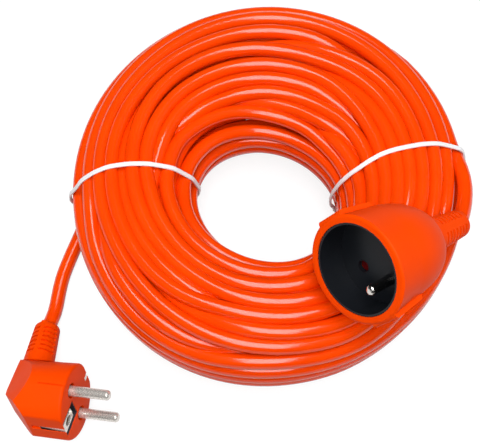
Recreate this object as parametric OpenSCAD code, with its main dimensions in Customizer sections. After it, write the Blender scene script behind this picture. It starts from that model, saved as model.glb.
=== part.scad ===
// Coiled three-core extension cord: angled plug, coupler socket with a turning shutter, two ties.
// Millimetres. Z is up and z = 0 is the surface that the coil lies on.

/* [Cord] */
// Outside diameter of the sheathed cord
cord_d = 7.4; // [6.8:0.1:7.8]
// Outside diameter of one insulated core inside the sheath
core_d = 2.5; // [2.2:0.1:2.7]

/* [Coil] */
// Mean radius of the ring of turns
ring_r = 66.5; // [62:1:72]
// How much further out the ring's far side lies
ring_swing = 3.5; // [0:0.5:5]
// Half of the ring's width
ring_half_w = 32.5; // [32:0.5:36]
// How much wider the loose far side is than the side that it averages with
width_swing = 5.5; // [0:0.5:6]
// Height of the coil
ring_h = 60; // [59:1:66]
// Roundness of the coil's section, 2 is an ellipse
section_power = 2.4; // [2:0.1:3]
// Turns that show round the outside of the section
outer_turns = 20; // [16:1:20]
// Gap left between the outer turns and what lies under them
turn_gap = 0.5; // [0.4:0.1:1]

/* [Ties] */
// Width of a tie's flat strip
tie_w = 2.4; // [1.8:0.1:4]
// Thickness of a tie
tie_t = 1.2; // [0.8:0.1:1.8]
// Bearing of the left tie round the ring
tie_left_at = 170; // [165:1:175]
// Bearing of the right tie round the ring
tie_right_at = 20; // [15:1:25]

/* [Plug and pins] */
// Radius of the plug's round front
plug_r = 18.5; // [18:0.1:19.5]
// Depth of the round front before the body narrows
front_depth = 18; // [17:0.5:20]
// Depth of the whole plug behind its face
plug_depth = 36.4; // [35:0.2:40]
// Half of the thickness of the narrow back
back_half_t = 9.5; // [9:0.1:11]
// Radius of the contact pins, of the earth pin and of what they enter
pin_r = 2.4; // [2.35:0.01:2.45]
// Length of the contact pins outside the face
pin_l = 19; // [18:0.5:19.5]
// Distance between the two contact pins
pin_pitch = 19; // [18.5:0.1:19.5]
// Distance of the earth contact from the middle
earth_off = 10; // [9.8:0.1:10.4]
// Half of the width of the earth contact's window
window_half_w = 5; // [4.6:0.1:5.4]
// Half of the width of the grooves for the side contacts
groove_half_w = 4; // [3.6:0.1:4.6]
// Length of those grooves
groove_l = 16.5; // [15:0.5:17]
// Thickness of the earth bracket's sheet
sheet_t = 1; // [0.8:0.1:1.2]

/* [Boots] */
// Length of the plug's ribbed boot outside the body
plug_boot_l = 23; // [21:0.5:26]
// Length of the socket's ribbed boot outside the body
socket_boot_l = 28; // [26:0.5:32]
// Distance between two grooves of a boot
rib_pitch = 2.7; // [2.4:0.1:3]
// Width of a boot's groove
rib_gap = 1.2; // [0.9:0.1:1.4]
// Depth of a boot's groove
rib_depth = 1.3; // [0.8:0.1:1.6]

/* [Socket] */
// Outside radius of the socket's barrel
barrel_r = 24; // [23.5:0.1:26]
// Length of the barrel's straight front
barrel_front = 15; // [13:0.5:18]
// Length of the domed shoulder behind it
shoulder_l = 30; // [29:0.5:34]
// Radius of the recess for a plug
recess_r = 19.5; // [19.2:0.1:19.8]
// Depth of the recess
recess_depth = 15; // [14.5:0.1:15.5]
// Wall of the black liner
liner_wall = 0.9; // [0.8:0.1:1.2]
// Thickness of the liner's floor
floor_t = 2.5; // [2.2:0.1:3]
// Radius of the entry holes for the contact pins
entry_r = 2.75; // [2.6:0.05:2.9]
// How far the earth pin's tip stays behind the mouth
earth_tip_back = 1; // [0.5:0.1:3]
// Half of the width of the grip flats
lug_half_w = 7; // [6:0.5:9]
// Distance of the grip flats from the middle
lug_face = 25; // [24.6:0.1:26]
// Length of the grip flats
lug_l = 33; // [28:1:36]

/* [Shutter] */
// Thickness of the shutter
shutter_t = 3.2; // [2.6:0.1:3.4]
// Free space in front of the shutter and behind it
shutter_play = 0.6; // [0.4:0.1:0.8]
// Half of the angle that one wing covers
wing_half_angle = 20; // [18.5:0.5:22]
// Radius of the shutter's wings
wing_r = 13.6; // [13:0.1:14]
// Radius of the pivot that the shutter turns on
pivot_r = 1.9; // [1.6:0.1:2.2]
// Depth of the contact carrier
carrier_t = 10; // [9:0.5:11]

/* [Clearances] */
// Running gap of the shutter on its pivot
run_gap = 0.05; // [0.02:0.01:0.08]
// Gap between a pin or tube and the plastic that holds it
hold_gap = 0.05; // [0.02:0.01:0.1]
// Gap round pieces that lie in a pocket
pocket_gap = 0.15; // [0.1:0.05:0.3]

/* [Hidden] */
$fn = 48;

orange = [0.96, 0.27, 0.03];
black = [0.07, 0.08, 0.09];
dark = [0.16, 0.13, 0.12];
nickel = [0.78, 0.76, 0.72];
brass = [0.80, 0.66, 0.36];
white = [0.93, 0.93, 0.95];
red = [0.62, 0.05, 0.06];
brown = [0.36, 0.18, 0.08];
blue = [0.10, 0.25, 0.70];
yellow_green = [0.55, 0.72, 0.10];

// Places, all round the middle of the ring
ring_at = [11.5, 5, 0];
plug_at = ring_at + [-ring_r - 22.5, -ring_r - 33, 23.25];
plug_turn = [-19, -10, -9];
socket_at = ring_at + [ring_r - 32, 6 - ring_r, ring_h + 35];
socket_turn = [-106, -28.5, -143.5];

cord_r = cord_d / 2;
core_r = core_d / 2;
bore_r = cord_r + 0.1;

// ---------------------------------------------------------------- small geometry helpers
function unit(v) = v / norm(v);
function last(list) = list[len(list) - 1];
function sign_power(v, p) = sign(v) * pow(abs(v), p);

// One point of a smooth curve through b and c, with a and d as their neighbours
function curve_point(a, b, c, d, t) =
    0.5 * (2 * b + (c - a) * t + (2 * a - 5 * b + 4 * c - d) * t * t
           + (3 * b - a - 3 * c + d) * t * t * t);

// A smooth curve through the points, with steps pieces between two of them
function smooth_path(p, steps) = concat(
    [for (i = [0 : len(p) - 2]) for (k = [0 : steps - 1])
        curve_point(p[max(i - 1, 0)], p[i], p[i + 1], p[min(i + 2, len(p) - 1)], k / steps)],
    [last(p)]);

function heading(p, i) = unit(p[min(i + 1, len(p) - 1)] - p[max(i - 1, 0)]);

function ring_points(centre, along, up, r, sides) =
    let (u = unit(cross(along, up)), v = cross(u, along))
    [for (k = [0 : sides - 1]) centre + r * (cos(360 * k / sides) * u + sin(360 * k / sides) * v)];

function tube_faces(rings, sides) = concat(
    [for (k = [1 : sides - 2]) [0, k + 1, k]],
    [for (i = [0 : rings - 2]) for (k = [0 : sides - 1])
        let (a = i * sides + k, b = i * sides + (k + 1) % sides) [a, b, a + sides]],
    [for (i = [0 : rings - 2]) for (k = [0 : sides - 1])
        let (a = i * sides + k, b = i * sides + (k + 1) % sides) [b, b + sides, a + sides]],
    let (o = (rings - 1) * sides) [for (k = [1 : sides - 2]) [o, o + k, o + k + 1]]);

// A round tube swept along a path; nothing of it goes below floor_z
module tube(path, r, sides, up = [0, 0, 1], floor_z = -1000) {
    points = [for (i = [0 : len(path) - 1])
        each ring_points(path[i], heading(path, i), up, r, sides)];
    polyhedron([for (p = points) [p.x, p.y, max(p.z, floor_z)]], tube_faces(len(path), sides));
}

// Lays +Z of a child along +X
module along_x() { rotate([0, 90, 0]) children(); }

// ---------------------------------------------------------------- connectors' places
module place_plug() { translate(plug_at) rotate(plug_turn) children(); }
module place_socket() { translate(socket_at) rotate(socket_turn) children(); }

function turn_x(p, a) = [p.x, p.y * cos(a) - p.z * sin(a), p.y * sin(a) + p.z * cos(a)];
function turn_y(p, a) = [p.x * cos(a) + p.z * sin(a), p.y, p.z * cos(a) - p.x * sin(a)];
function turn_z(p, a) = [p.x * cos(a) - p.y * sin(a), p.x * sin(a) + p.y * cos(a), p.z];
function placed(p, at, turn) = at + turn_z(turn_y(turn_x(p, turn.x), turn.y), turn.z);

// ---------------------------------------------------------------- coil
// Centre lines of the outer turns run on a rounded section, cut flat where they lie on the ground
flat_cut = cord_d / 10;
line_half_h = (ring_h - cord_d + flat_cut) / 2;
line_mid_z = cord_r - flat_cut + line_half_h;
rings_per_turn = 24;
turns = outer_turns - 1 + 125 / 360;
start_bearing = 185;
start_angle = -36;
step_angle = 5;

function ring_radius(bearing) = ring_r + ring_swing * sin(bearing);
function half_width(bearing) = ring_half_w + width_swing * sin(bearing);

// The ties draw the section in, so that they pass between the coil and the ground
tie_gap = 0.2;
waist = flat_cut + tie_gap + tie_t + 0.06;
waist_reach = 15;
function off_tie(bearing, at) = abs((bearing - at + 7380) % 360 - 180);
function drawn_in(bearing) =
    waist * max(0, 1 - min(off_tie(bearing, tie_left_at), off_tie(bearing, tie_right_at)) / waist_reach);

// A point of the section, inset from the ring's outside, at an angle round the section
function section_point(bearing, angle, inset) = [
    ring_radius(bearing) + (half_width(bearing) - inset) * sign_power(cos(angle), 2 / section_power),
    line_mid_z + (line_half_h + cord_r - drawn_in(bearing) - inset)
        * sign_power(sin(angle), 2 / section_power)];

function on_ring(bearing, rz) = ring_at + [rz[0] * cos(bearing), rz[0] * sin(bearing), rz[1]];

// Equal steps along the section's outline, as a table from share of the way to angle
narrow = 270;
outline = [for (a = [0 : step_angle : 360]) section_point(narrow, a, cord_r)];
step_lengths = [for (i = [1 : len(outline) - 1]) norm(outline[i] - outline[i - 1])];
function sum_to(list, n) = n == 0 ? 0 : list[n - 1] + sum_to(list, n - 1);
outline_l = sum_to(step_lengths, len(step_lengths));
share_to_angle = [for (i = [0 : len(outline) - 1])
    [sum_to(step_lengths, i) / outline_l, i * step_angle]];
angle_to_share = [for (row = share_to_angle) [row[1], row[0]]];
start_share = lookup(start_angle + 360, angle_to_share);

function turn_point(t) =
    let (share = start_share - t / outer_turns, angle = lookup(share - floor(share), share_to_angle),
         bearing = start_bearing - 360 * t)
    on_ring(bearing, section_point(bearing, angle, cord_r));

ring_count = round(turns * rings_per_turn);
turn_points = [for (i = [0 : ring_count]) turn_point(i / rings_per_turn)];
start_heading = unit([0.05, -1, -0.25]);
end_heading = unit(last(turn_points) - turn_points[len(turn_points) - 2]);
coil_start = turn_points[0] + cord_d * start_heading;
coil_end = last(turn_points) + cord_d * end_heading;
coil_path = concat([coil_start], turn_points, [coil_end]);

neighbour_gaps = [for (i = [0 : ring_count - rings_per_turn])
    norm(turn_points[i] - turn_points[i + rings_per_turn]) - cord_d];
closing_gaps = [for (i = [0 : ring_count - (outer_turns - 1) * rings_per_turn])
    norm(turn_points[i] - turn_points[i + (outer_turns - 1) * rings_per_turn]) - cord_d];
echo(least_gap_between_turns = min(concat(neighbour_gaps, closing_gaps)));

module cable_coil() {
    color(orange) tube(coil_path, cord_r, 6, [0, 0, 1], 0);
}

// The turns inside, as one plain ring under the outer ones
core_sides = 16;
module coil_core() {
    inset = cord_d + turn_gap;
    points = [for (i = [0 : rings_per_turn - 1]) for (k = [0 : core_sides - 1])
        let (bearing = start_bearing - 360 * i / rings_per_turn)
        on_ring(bearing, section_point(bearing, 360 * k / core_sides, inset))];
    count = len(points);
    faces = [for (i = [0 : rings_per_turn - 1]) for (k = [0 : core_sides - 1])
        let (a = i * core_sides + k, b = i * core_sides + (k + 1) % core_sides)
        each [[a, (a + core_sides) % count, b],
              [b, (a + core_sides) % count, (b + core_sides) % count]]];
    color(orange) polyhedron(points, faces);
}

// ---------------------------------------------------------------- free leads
// Between the boots and the coil
plug_boot_tip = plug_r + plug_boot_l;
plug_lead_x = -25.5;
plug_sheath_end = 16;
// Hand-chosen points: bearing, distance outside the ring's middle circle, and height,
// which is above the floor for the plug's lead and from the ring's top for the socket's
plug_lead_route = [[204.51, 45.6, 3.7], [200.72, 36.67, 4.5], [196.53, 28.42, 7.5]];
socket_lead_route = [
    [-8.47, 28.54, -5.5], [-0.58, 31.51, -8.5], [8.05, 33.48, -11], [17.29, 36.14, -14],
    [25.23, 39.07, -20], [33.62, 40.97, -28.5], [41.61, 41.17, -38.5], [50.23, 38.23, -42.5]];

function beside_ring(p, from_z) = on_ring(p[0], [ring_r + p[1], from_z + p[2]]);
function plug_lead_point(y) = placed([plug_lead_x, y, 0], plug_at, plug_turn);
function socket_lead_point(x) = placed([x, 0, 0], socket_at, socket_turn);

module plug_lead() {
    route = concat(
        [for (y = [plug_boot_tip - 8, plug_boot_tip]) plug_lead_point(y)],
        [for (p = plug_lead_route) beside_ring(p, 0)]);
    path = concat([plug_lead_point(plug_sheath_end)], smooth_path(route, 2),
        [coil_start + 0.2 * cord_d * start_heading, coil_start]);
    color(orange) tube(path, cord_r, 10, [0, 0, 1], 0);
}

module socket_lead() {
    route = concat(
        [for (x = [boot_tip_x + 8, boot_tip_x]) socket_lead_point(x)],
        [for (p = socket_lead_route) beside_ring(p, ring_h)]);
    path = concat([socket_lead_point(sheath_x)], smooth_path(route, 2),
        [coil_end + 0.2 * cord_d * end_heading, coil_end]);
    color(orange) tube(path, cord_r, 10);
}

// ---------------------------------------------------------------- ties
module section_outline(bearing, inset) {
    polygon([for (a = [0 : step_angle : 360 - step_angle])
        section_point(bearing, a, inset)]);
}

// A strip laid round the section, and its two ends side by side inside the ring
module tie(bearing, bulge) {
    end_l = 9;
    end_r = 0.8;
    inset = -tie_gap;
    side = section_point(bearing, 200, inset - tie_t / 2);
    translate(ring_at) rotate([0, 0, bearing]) {
        rotate([90, 0, 0]) linear_extrude(tie_w, center = true) difference() {
            offset(delta = tie_t) tie_opening(bearing, inset, bulge);
            tie_opening(bearing, inset, bulge);
        }
        for (y = [-0.7, 0.7]) translate([side[0] - 0.4, y * end_r, side[1] - end_l])
            cylinder(h = end_l, r = end_r);
    }
}

module tie_opening(bearing, inset, bulge) {
    hull() {
        section_outline(bearing, inset);
        if (len(bulge) > 0) translate(bulge) circle(cord_r + 1.2, $fn = 24);
    }
}

module tie_left() { color(white) tie(tie_left_at, []); }

// The right tie also goes round the lead on its way to the socket
module tie_right() { color(white) tie(tie_right_at, [ring_r + 37.5, ring_h - 16]); }

// ---------------------------------------------------------------- boots
// A tapered, ribbed sleeve along +Z, with two plain bands where its ribs stop
module boot(base_r, tip_r, length, ribs) {
    tip_round = 2.2;
    web_half = 2;
    difference() {
        rotate_extrude() polygon(concat(
            [[0, 0], [base_r, 0]],
            [for (a = [0 : 15 : 75])
                [tip_r - tip_round * (1 - cos(a)), length - tip_round * (1 - sin(a))]],
            [[tip_r - tip_round, length], [0, length]]));
        for (i = [0 : ribs - 1]) translate([0, 0, length - 5.2 - i * rib_pitch])
            let (r = tip_r + (base_r - tip_r) * (5.2 + i * rib_pitch) / length)
            difference() {
                cylinder(h = rib_gap, r = r + 2);
                translate([0, 0, -1]) cylinder(h = rib_gap + 2, r = r - rib_depth);
                translate([-web_half, -r - 3, -1]) cube([2 * web_half, 2 * r + 6, rib_gap + 2]);
            }
    }
}

// ---------------------------------------------------------------- plug, pins along +X, face at x = 0
boot_base_r = 7.8;
boot_tip_r = 6.4;
ring_recess = 1.5;
boss_r = 3.5;
carrier_back = -14.5;
carrier_front = -9.5;
pin_back = -16;
pin_seat = 0.3;
shank_r = pin_r - 0.4;
strap_x = -9;
plate_x = -1.4;
clip_y = 16.2;
clip_l = 13;
strap_half_w = 2.5;
plate_half_w = 3.7;
plate_near = 5.2;
tail_y = 7.6;
tail_back = -17;
crimp_r = 2.1;
crimp_l = 5;
sleeve_wall = 0.7;
sleeve_l = 10;
sleeve_r = pin_r + 0.03;

// The round front, cut to a wedge behind: it narrows to a flat back, and its lower side slopes in
module plug_outer() {
    rim = 1.4;
    soft = 2;
    big = plug_r + 2;
    back = -plug_depth;
    side_slope = (plug_r - back_half_t) / (plug_depth - front_depth);
    slope_end = -0.6;
    low_slope = (plug_r + slope_end) / (plug_depth - front_depth + soft);
    side_start = -front_depth + (big - plug_r) / side_slope;
    low_start = back + (big + slope_end) / low_slope;
    intersection() {
        along_x() rotate_extrude() polygon(concat(
            [[0, back], [plug_r, back]],
            [for (a = [0 : 15 : 90]) [plug_r - rim * (1 - cos(a)), -rim * (1 - sin(a))]],
            [[0, 0]]));
        rotate([90, 0, 0]) linear_extrude(2 * big, center = true) polygon([
            [1, -big], [side_start, -big], [back + soft, -back_half_t - soft * side_slope],
            [back, -back_half_t + soft], [back, back_half_t - soft],
            [back + soft, back_half_t + soft * side_slope], [side_start, big], [1, big]]);
        linear_extrude(2 * big, center = true) polygon([
            [1, -big], [low_start, -big], [back + soft, slope_end - soft * low_slope],
            [back, slope_end + soft], [back, plug_r - 2 * soft], [back + soft, big], [1, big]]);
    }
}

module side_groove() {
    translate([-groove_l, clip_y - sheet_t, -groove_half_w])
        cube([groove_l + 1, plug_r, 2 * groove_half_w]);
}

module plug_body() {
    bay_half = 12.6;
    color(orange) place_plug() difference() {
        union() {
            plug_outer();
            translate([plug_lead_x, plug_r - 4, 0]) rotate([-90, 90, 0])
                boot(boot_base_r, boot_tip_r, plug_boot_l + 4, 6);
        }
        // cord, and the bay for the cores and crimps
        translate([plug_lead_x, plug_sheath_end - 1, 0]) rotate([-90, 0, 0])
            cylinder(h = plug_boot_l + 8, r = bore_r);
        translate([plug_lead_x - 5, -2, -9]) cube([8.6, plug_sheath_end + 1.5, 18]);
        translate([-26, -4, -bay_half]) cube([26 + carrier_back + 0.5, 15, 2 * bay_half]);
        // carrier, its bosses and the shallow rings round the pins
        translate([carrier_back - pocket_gap, -6 - pocket_gap, -14.5])
            cube([carrier_front - carrier_back + 2 * pocket_gap, 12 + 2 * pocket_gap, 29]);
        for (z = [-1, 1]) translate([carrier_front - 1, 0, z * pin_pitch / 2]) along_x()
            cylinder(h = 12, r = boss_r + pocket_gap);
        // window in the face, grooves for the side contacts, slot for the strap
        translate([strap_x - 3.5, -clip_y, -window_half_w])
            cube([4.5 - strap_x, clip_y - plate_near + 3, 2 * window_half_w]);
        side_groove();
        mirror([0, 1, 0]) side_groove();
        translate([strap_x - pocket_gap, -plate_near - 1, -strap_half_w - pocket_gap])
            cube([sheet_t + 2 * pocket_gap, clip_y + plate_near + 1, 2 * (strap_half_w + pocket_gap)]);
        translate([carrier_back - 2, tail_y - pocket_gap, -strap_half_w - pocket_gap])
            cube([strap_x - carrier_back + 2, sheet_t + 2 * pocket_gap,
                  2 * (strap_half_w + pocket_gap)]);
        // mould line on the side
        translate([-13, -3.6, plug_r - 0.9]) cube([14, 0.7, 2]);
    }
}

module plug_pin_carrier() {
    half_l = 14.2;
    color(dark) place_plug() difference() {
        union() {
            translate([carrier_back, -6, -half_l])
                cube([carrier_front - carrier_back, 12, 2 * half_l]);
            for (z = [-1, 1]) translate([carrier_front - 1, 0, z * pin_pitch / 2]) along_x()
                cylinder(h = 1 - carrier_front - ring_recess, r = boss_r);
        }
        for (z = [-1, 1]) translate([carrier_back - 1, 0, z * pin_pitch / 2]) along_x()
            cylinder(h = 16, r = shank_r + hold_gap);
    }
}

// A solid turned pin with a domed tip, on a slimmer shank that ends at its shoulder
module contact_pin(back, shoulder, front) {
    tip_r = 1.7;
    translate([back, 0, 0]) along_x() rotate_extrude() polygon(concat(
        [[0, 0], [shank_r, 0], [shank_r, shoulder - back], [pin_r, shoulder - back]],
        [for (a = [0 : 15 : 90])
            [pin_r - tip_r * (1 - cos(a)), front - back - tip_r * (1 - sin(a))]],
        [[0, front - back]]));
}

module plug_pin(side) {
    color(nickel) place_plug() translate([0, 0, side * pin_pitch / 2]) 
        contact_pin(pin_back, pin_seat - ring_recess, pin_l);
}
module plug_pin_line() { plug_pin(1); }
module plug_pin_neutral() { plug_pin(-1); }

// One bent sheet: window plate, step, strap between the pins, tail, and two side contacts
module plug_earth_bracket() {
    color(nickel) place_plug() difference() {
        union() {
            translate([plate_x - sheet_t, -clip_y - sheet_t, -plate_half_w])
                cube([sheet_t, clip_y + sheet_t - plate_near, 2 * plate_half_w]);
            translate([strap_x, -plate_near - sheet_t, -strap_half_w])
                cube([plate_x - strap_x, sheet_t, 2 * strap_half_w]);
            translate([strap_x, -plate_near - sheet_t, -strap_half_w])
                cube([sheet_t, clip_y + plate_near + 2 * sheet_t, 2 * strap_half_w]);
            translate([plate_x - clip_l, -clip_y - sheet_t, -strap_half_w])
                cube([clip_l, sheet_t, 2 * strap_half_w]);
            translate([plate_x - clip_l, clip_y, -strap_half_w])
                cube([clip_l, sheet_t, 2 * strap_half_w]);
            translate([tail_back, tail_y, -strap_half_w])
                cube([strap_x - tail_back, sheet_t, 2 * strap_half_w]);
        }
        translate([plate_x - 2, -earth_off, 0]) along_x() cylinder(h = 4, r = pin_r + 0.25);
    }
}

module plug_earth_sleeve() {
    color(brass) place_plug() translate([plate_x - sheet_t - sleeve_l, -earth_off, 0]) along_x()
        difference() {
            cylinder(h = sleeve_l, r = sleeve_r + sleeve_wall);
            translate([0, 0, -1]) cylinder(h = sleeve_l + 2, r = sleeve_r);
        }
}

// A short barrel pressed round the end of a core
module crimp() {
    along_x() difference() {
        cylinder(h = crimp_l, r = crimp_r);
        translate([0, 0, -1]) cylinder(h = crimp_l, r = core_r + hold_gap);
    }
}

earth_crimp_at = [tail_back - crimp_l, tail_y + sheet_t / 2, 0];
module plug_crimps() {
    color(nickel) place_plug() {
        for (z = [-1, 1]) translate([pin_back - crimp_l, 0, z * pin_pitch / 2]) crimp();
        translate(earth_crimp_at) crimp();
    }
}

// A core from the end of the sheath into its crimp, in the plug's own frame
module plug_core(side, crimp_at) {
    spread = 1.7;
    start = [plug_lead_x - spread / 2, plug_sheath_end - hold_gap, side * spread];
    inside = crimp_at + [crimp_l - 1.5, 0, 0];
    bend = crimp_at + [-2.2, 0.8, 0];
    route = [start, start + [0, -1, 0], start + [0, -3.5, 0],
             (start + bend) / 2 + [-0.8, 0, side * 1.5], bend, crimp_at + [0.4, 0, 0], inside];
    place_plug() tube(smooth_path(route, 2), core_r - hold_gap, 8, [0.3, 0.2, 1]);
}
module plug_wire_brown() { color(brown) plug_core(1, [pin_back - crimp_l, 0, pin_pitch / 2]); }
module plug_wire_blue() { color(blue) plug_core(-1, [pin_back - crimp_l, 0, -pin_pitch / 2]); }
module plug_wire_earth() {
    spread = 1.7;
    start = [plug_lead_x + spread, plug_sheath_end - hold_gap, 0];
    route = [start, start + [0, -1, 0], start + [-0.2, -4, 0], earth_crimp_at + [-1.5, 0.7, 0],
             earth_crimp_at + [-0.3, 0, 0], earth_crimp_at + [1, 0, 0],
             earth_crimp_at + [crimp_l - 1.5, 0, 0]];
    color(yellow_green) place_plug() tube(smooth_path(route, 2), core_r - hold_gap, 8);
}

// ---------------------------------------------------------------- socket, mouth at x = 0, looks to +X
liner_r = recess_r + liner_wall;
floor_x = -recess_depth;
chamber_x = floor_x - floor_t;
chamber_r = 15;
carrier_x = chamber_x - shutter_t - 2 * shutter_play;
carrier_end = carrier_x - carrier_t;
cone_x = carrier_end - crimp_l + 1;
sheath_x = -barrel_front - shoulder_l - 4;
boot_tip_x = -barrel_front - shoulder_l - socket_boot_l - 2;
neck_r = 9;
spring_r = 3.4;
spring_wire_r = 0.3;
spring_depth = 3.6;
spring_turns = 4;
spring_leg_r = 5.2;

module barrel() {
    lip = 1.4;
    steps = 12;
    along_x() rotate_extrude() polygon(concat(
        [[0, -barrel_front - shoulder_l - 2], [neck_r, -barrel_front - shoulder_l - 2]],
        [for (i = [steps : -1 : 0]) let (a = 90 * i / steps)
            [neck_r + (barrel_r - neck_r) * cos(a), -barrel_front - shoulder_l * sin(a)]],
        [for (a = [0 : 15 : 90]) [barrel_r - lip * (1 - cos(a)), -lip * (1 - sin(a))]],
        [[0, 0]]));
}

// Two flats on the barrel's sides, for the fingers; they end in a rounded step
module lugs() {
    round_r = 2.5;
    intersection() {
        hull() for (z = [-1, 1]) for (x = [round_r - lug_l, -0.6 - round_r])
            translate([x, 0, z * (lug_face - round_r)]) rotate([90, 0, 0])
                cylinder(h = 2 * lug_half_w, r = round_r, center = true, $fn = 24);
        translate([-lug_l - 1, 0, 0]) along_x() cylinder(h = lug_l + 2, r = lug_face + 1.4);
    }
}

module socket_shell() {
    color(orange) place_socket() difference() {
        union() {
            barrel();
            lugs();
            translate([2 - barrel_front - shoulder_l, 0, 0]) rotate([0, -90, 0])
                boot(8.6, 7.2, socket_boot_l + 4, 7);
        }
        translate([chamber_x - pocket_gap, 0, 0]) along_x()
            cylinder(h = 30, r = liner_r + pocket_gap);
        translate([cone_x, 0, 0]) along_x() cylinder(h = chamber_x - cone_x + 1, r = chamber_r);
        translate([sheath_x, 0, 0]) along_x()
            cylinder(h = cone_x - sheath_x + 0.01, r1 = cord_r + 1, r2 = chamber_r);
        translate([boot_tip_x - 1, 0, 0]) along_x() cylinder(h = 40, r = bore_r);
        // small notch on the shoulder left by the mould
        rotate([-33, 0, 0]) translate([-barrel_front - 25.5, -2, 15.6]) cube([4, 4, 6]);
    }
}

module socket_well() {
    lip = 0.5;
    color(black) place_socket() difference() {
        translate([chamber_x, 0, 0]) along_x() cylinder(h = floor_t + recess_depth - lip, r = liner_r);
        translate([floor_x, 0, 0]) along_x() cylinder(h = recess_depth + 1, r = recess_r);
        for (y = [-1, 1]) translate([chamber_x - 1, y * pin_pitch / 2, 0]) along_x()
            cylinder(h = floor_t + 2, r = entry_r);
        translate([chamber_x - 1, 0, earth_off]) along_x()
            cylinder(h = floor_t + 2, r = shank_r + hold_gap);
    }
}

module socket_earth_pin() {
    color(nickel) place_socket() translate([0, 0, earth_off])
        contact_pin(carrier_end, floor_x + pin_seat, -earth_tip_back);
}

// A hub with two wings; each wing has a ramp that an entering pin pushes aside
module socket_shutter() {
    ramp_drop = 2.2;
    hub_r = spring_leg_r + 1;
    back_x = carrier_x + shutter_play;
    ramp_l = 2 * (pin_pitch / 2) * sin(wing_half_angle);
    color(red) place_socket() translate([back_x, 0, 0]) difference() {
        union() {
            along_x() cylinder(h = shutter_t, r = hub_r);
            for (side = [0, 180]) rotate([side, 0, 0]) difference() {
                along_x() linear_extrude(shutter_t) polygon(concat([[0, 0]],
                    [for (a = [-wing_half_angle : wing_half_angle / 4 : wing_half_angle])
                        wing_r * [-sin(a), cos(a)]]));
                translate([shutter_t - ramp_drop, 0, -ramp_l / 2])
                    rotate([0, atan(ramp_drop / ramp_l), 0]) translate([0, 6, -10])
                        cube([10, 20, 10 + ramp_l * 1.3]);
            }
        }
        translate([-1, 0, 0]) along_x() cylinder(h = shutter_t + 2, r = pivot_r + run_gap);
        rotate([-50, 0, 0]) translate([-1, 0, spring_leg_r]) along_x()
            cylinder(h = shutter_t + 2, r = 2.4 * spring_wire_r);
    }
}

// Wound round the pivot, one leg in the shutter and one in the carrier
module shutter_spring() {
    steps = 10;
    pitch = (spring_depth - 4 * spring_wire_r) / spring_turns;
    leg_at = 40;
    low = carrier_x - spring_depth + 2 * spring_wire_r;
    wound = [for (i = [0 : spring_turns * steps]) let (a = leg_at + 360 * i / steps)
        [low + pitch * i / steps, spring_r * cos(a), spring_r * sin(a)]];
    path = concat(
        [[low, (spring_leg_r + 1) * cos(leg_at), (spring_leg_r + 1) * sin(leg_at)],
         [low, (spring_leg_r - 0.6) * cos(leg_at), (spring_leg_r - 0.6) * sin(leg_at)]],
        [for (i = [1 : len(wound) - 1]) wound[i]],
        [[last(wound).x + 0.3, spring_leg_r * cos(leg_at + 4), spring_leg_r * sin(leg_at + 4)],
         [last(wound).x + shutter_play + 2.4, spring_leg_r * cos(leg_at), spring_leg_r * sin(leg_at)]]);
    color(nickel) place_socket() tube(path, spring_wire_r, 6, [1, 0.01, 0.02]);
}

module socket_contact_carrier() {
    color(black) place_socket() difference() {
        union() {
            translate([carrier_end, 0, 0]) along_x()
                cylinder(h = carrier_t, r = chamber_r - pocket_gap);
            translate([carrier_x - spring_depth - 1, 0, 0]) along_x()
                cylinder(h = spring_depth + 1 + shutter_t + 1.4 * shutter_play, r = pivot_r);
        }
        translate([carrier_x - spring_depth, 0, 0]) along_x() difference() {
            cylinder(h = spring_depth + 1, r = spring_leg_r + 1.4);
            translate([0, 0, -1]) cylinder(h = spring_depth + 3, r = pivot_r);
        }
        for (y = [-1, 1]) translate([carrier_end - 1, y * pin_pitch / 2, 0]) along_x()
            cylinder(h = carrier_t + 2, r = sleeve_r + sleeve_wall + hold_gap);
        translate([carrier_end - 1, 0, earth_off]) along_x()
            cylinder(h = carrier_t + 2, r = shank_r + hold_gap);
    }
}

// A slit sleeve with a closed back
module socket_contact(side) {
    color(brass) place_socket() translate([carrier_end, side * pin_pitch / 2, 0]) along_x()
        difference() {
            cylinder(h = carrier_t - 0.5, r = sleeve_r + sleeve_wall);
            translate([0, 0, 1]) cylinder(h = carrier_t, r = sleeve_r);
            translate([-0.4, -10, 2]) cube([0.8, 20, carrier_t]);
        }
}
module socket_contact_line() { socket_contact(1); }
module socket_contact_neutral() { socket_contact(-1); }

crimp_x = carrier_end - crimp_l;
module socket_crimps() {
    color(nickel) place_socket() {
        for (y = [-1, 1]) translate([crimp_x, y * pin_pitch / 2, 0]) crimp();
        translate([crimp_x, 0, earth_off]) crimp();
    }
}

// A core from its crimp back to the end of the sheath, at an angle round the axis
module socket_core(angle, off) {
    spread = 1.9;
    route = [[crimp_x + crimp_l - 1.5, off, 0], [crimp_x - 0.5, off, 0],
             [crimp_x - 4, off * 0.72, 0], [sheath_x + 6, off * 0.32, 0],
             [sheath_x + 3, spread, 0], [sheath_x, spread, 0]];
    place_socket() rotate([angle, 0, 0])
        tube(smooth_path(route, 2), core_r - hold_gap, 8, [0, 0.1, 1]);
}
module socket_wire_brown() { color(brown) socket_core(0, pin_pitch / 2); }
module socket_wire_blue() { color(blue) socket_core(180, pin_pitch / 2); }
module socket_wire_earth() { color(yellow_green) socket_core(90, earth_off); }

plug_body();
plug_pin_carrier();
plug_pin_line();
plug_pin_neutral();
plug_earth_bracket();
plug_earth_sleeve();
plug_crimps();
plug_wire_brown();
plug_wire_blue();
plug_wire_earth();
plug_lead();
cable_coil();
coil_core();
socket_lead();
tie_left();
tie_right();
socket_shell();
socket_well();
socket_earth_pin();
socket_shutter();
shutter_spring();
socket_contact_carrier();
socket_contact_line();
socket_contact_neutral();
socket_crimps();
socket_wire_brown();
socket_wire_blue();
socket_wire_earth();
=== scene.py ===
import math

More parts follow.
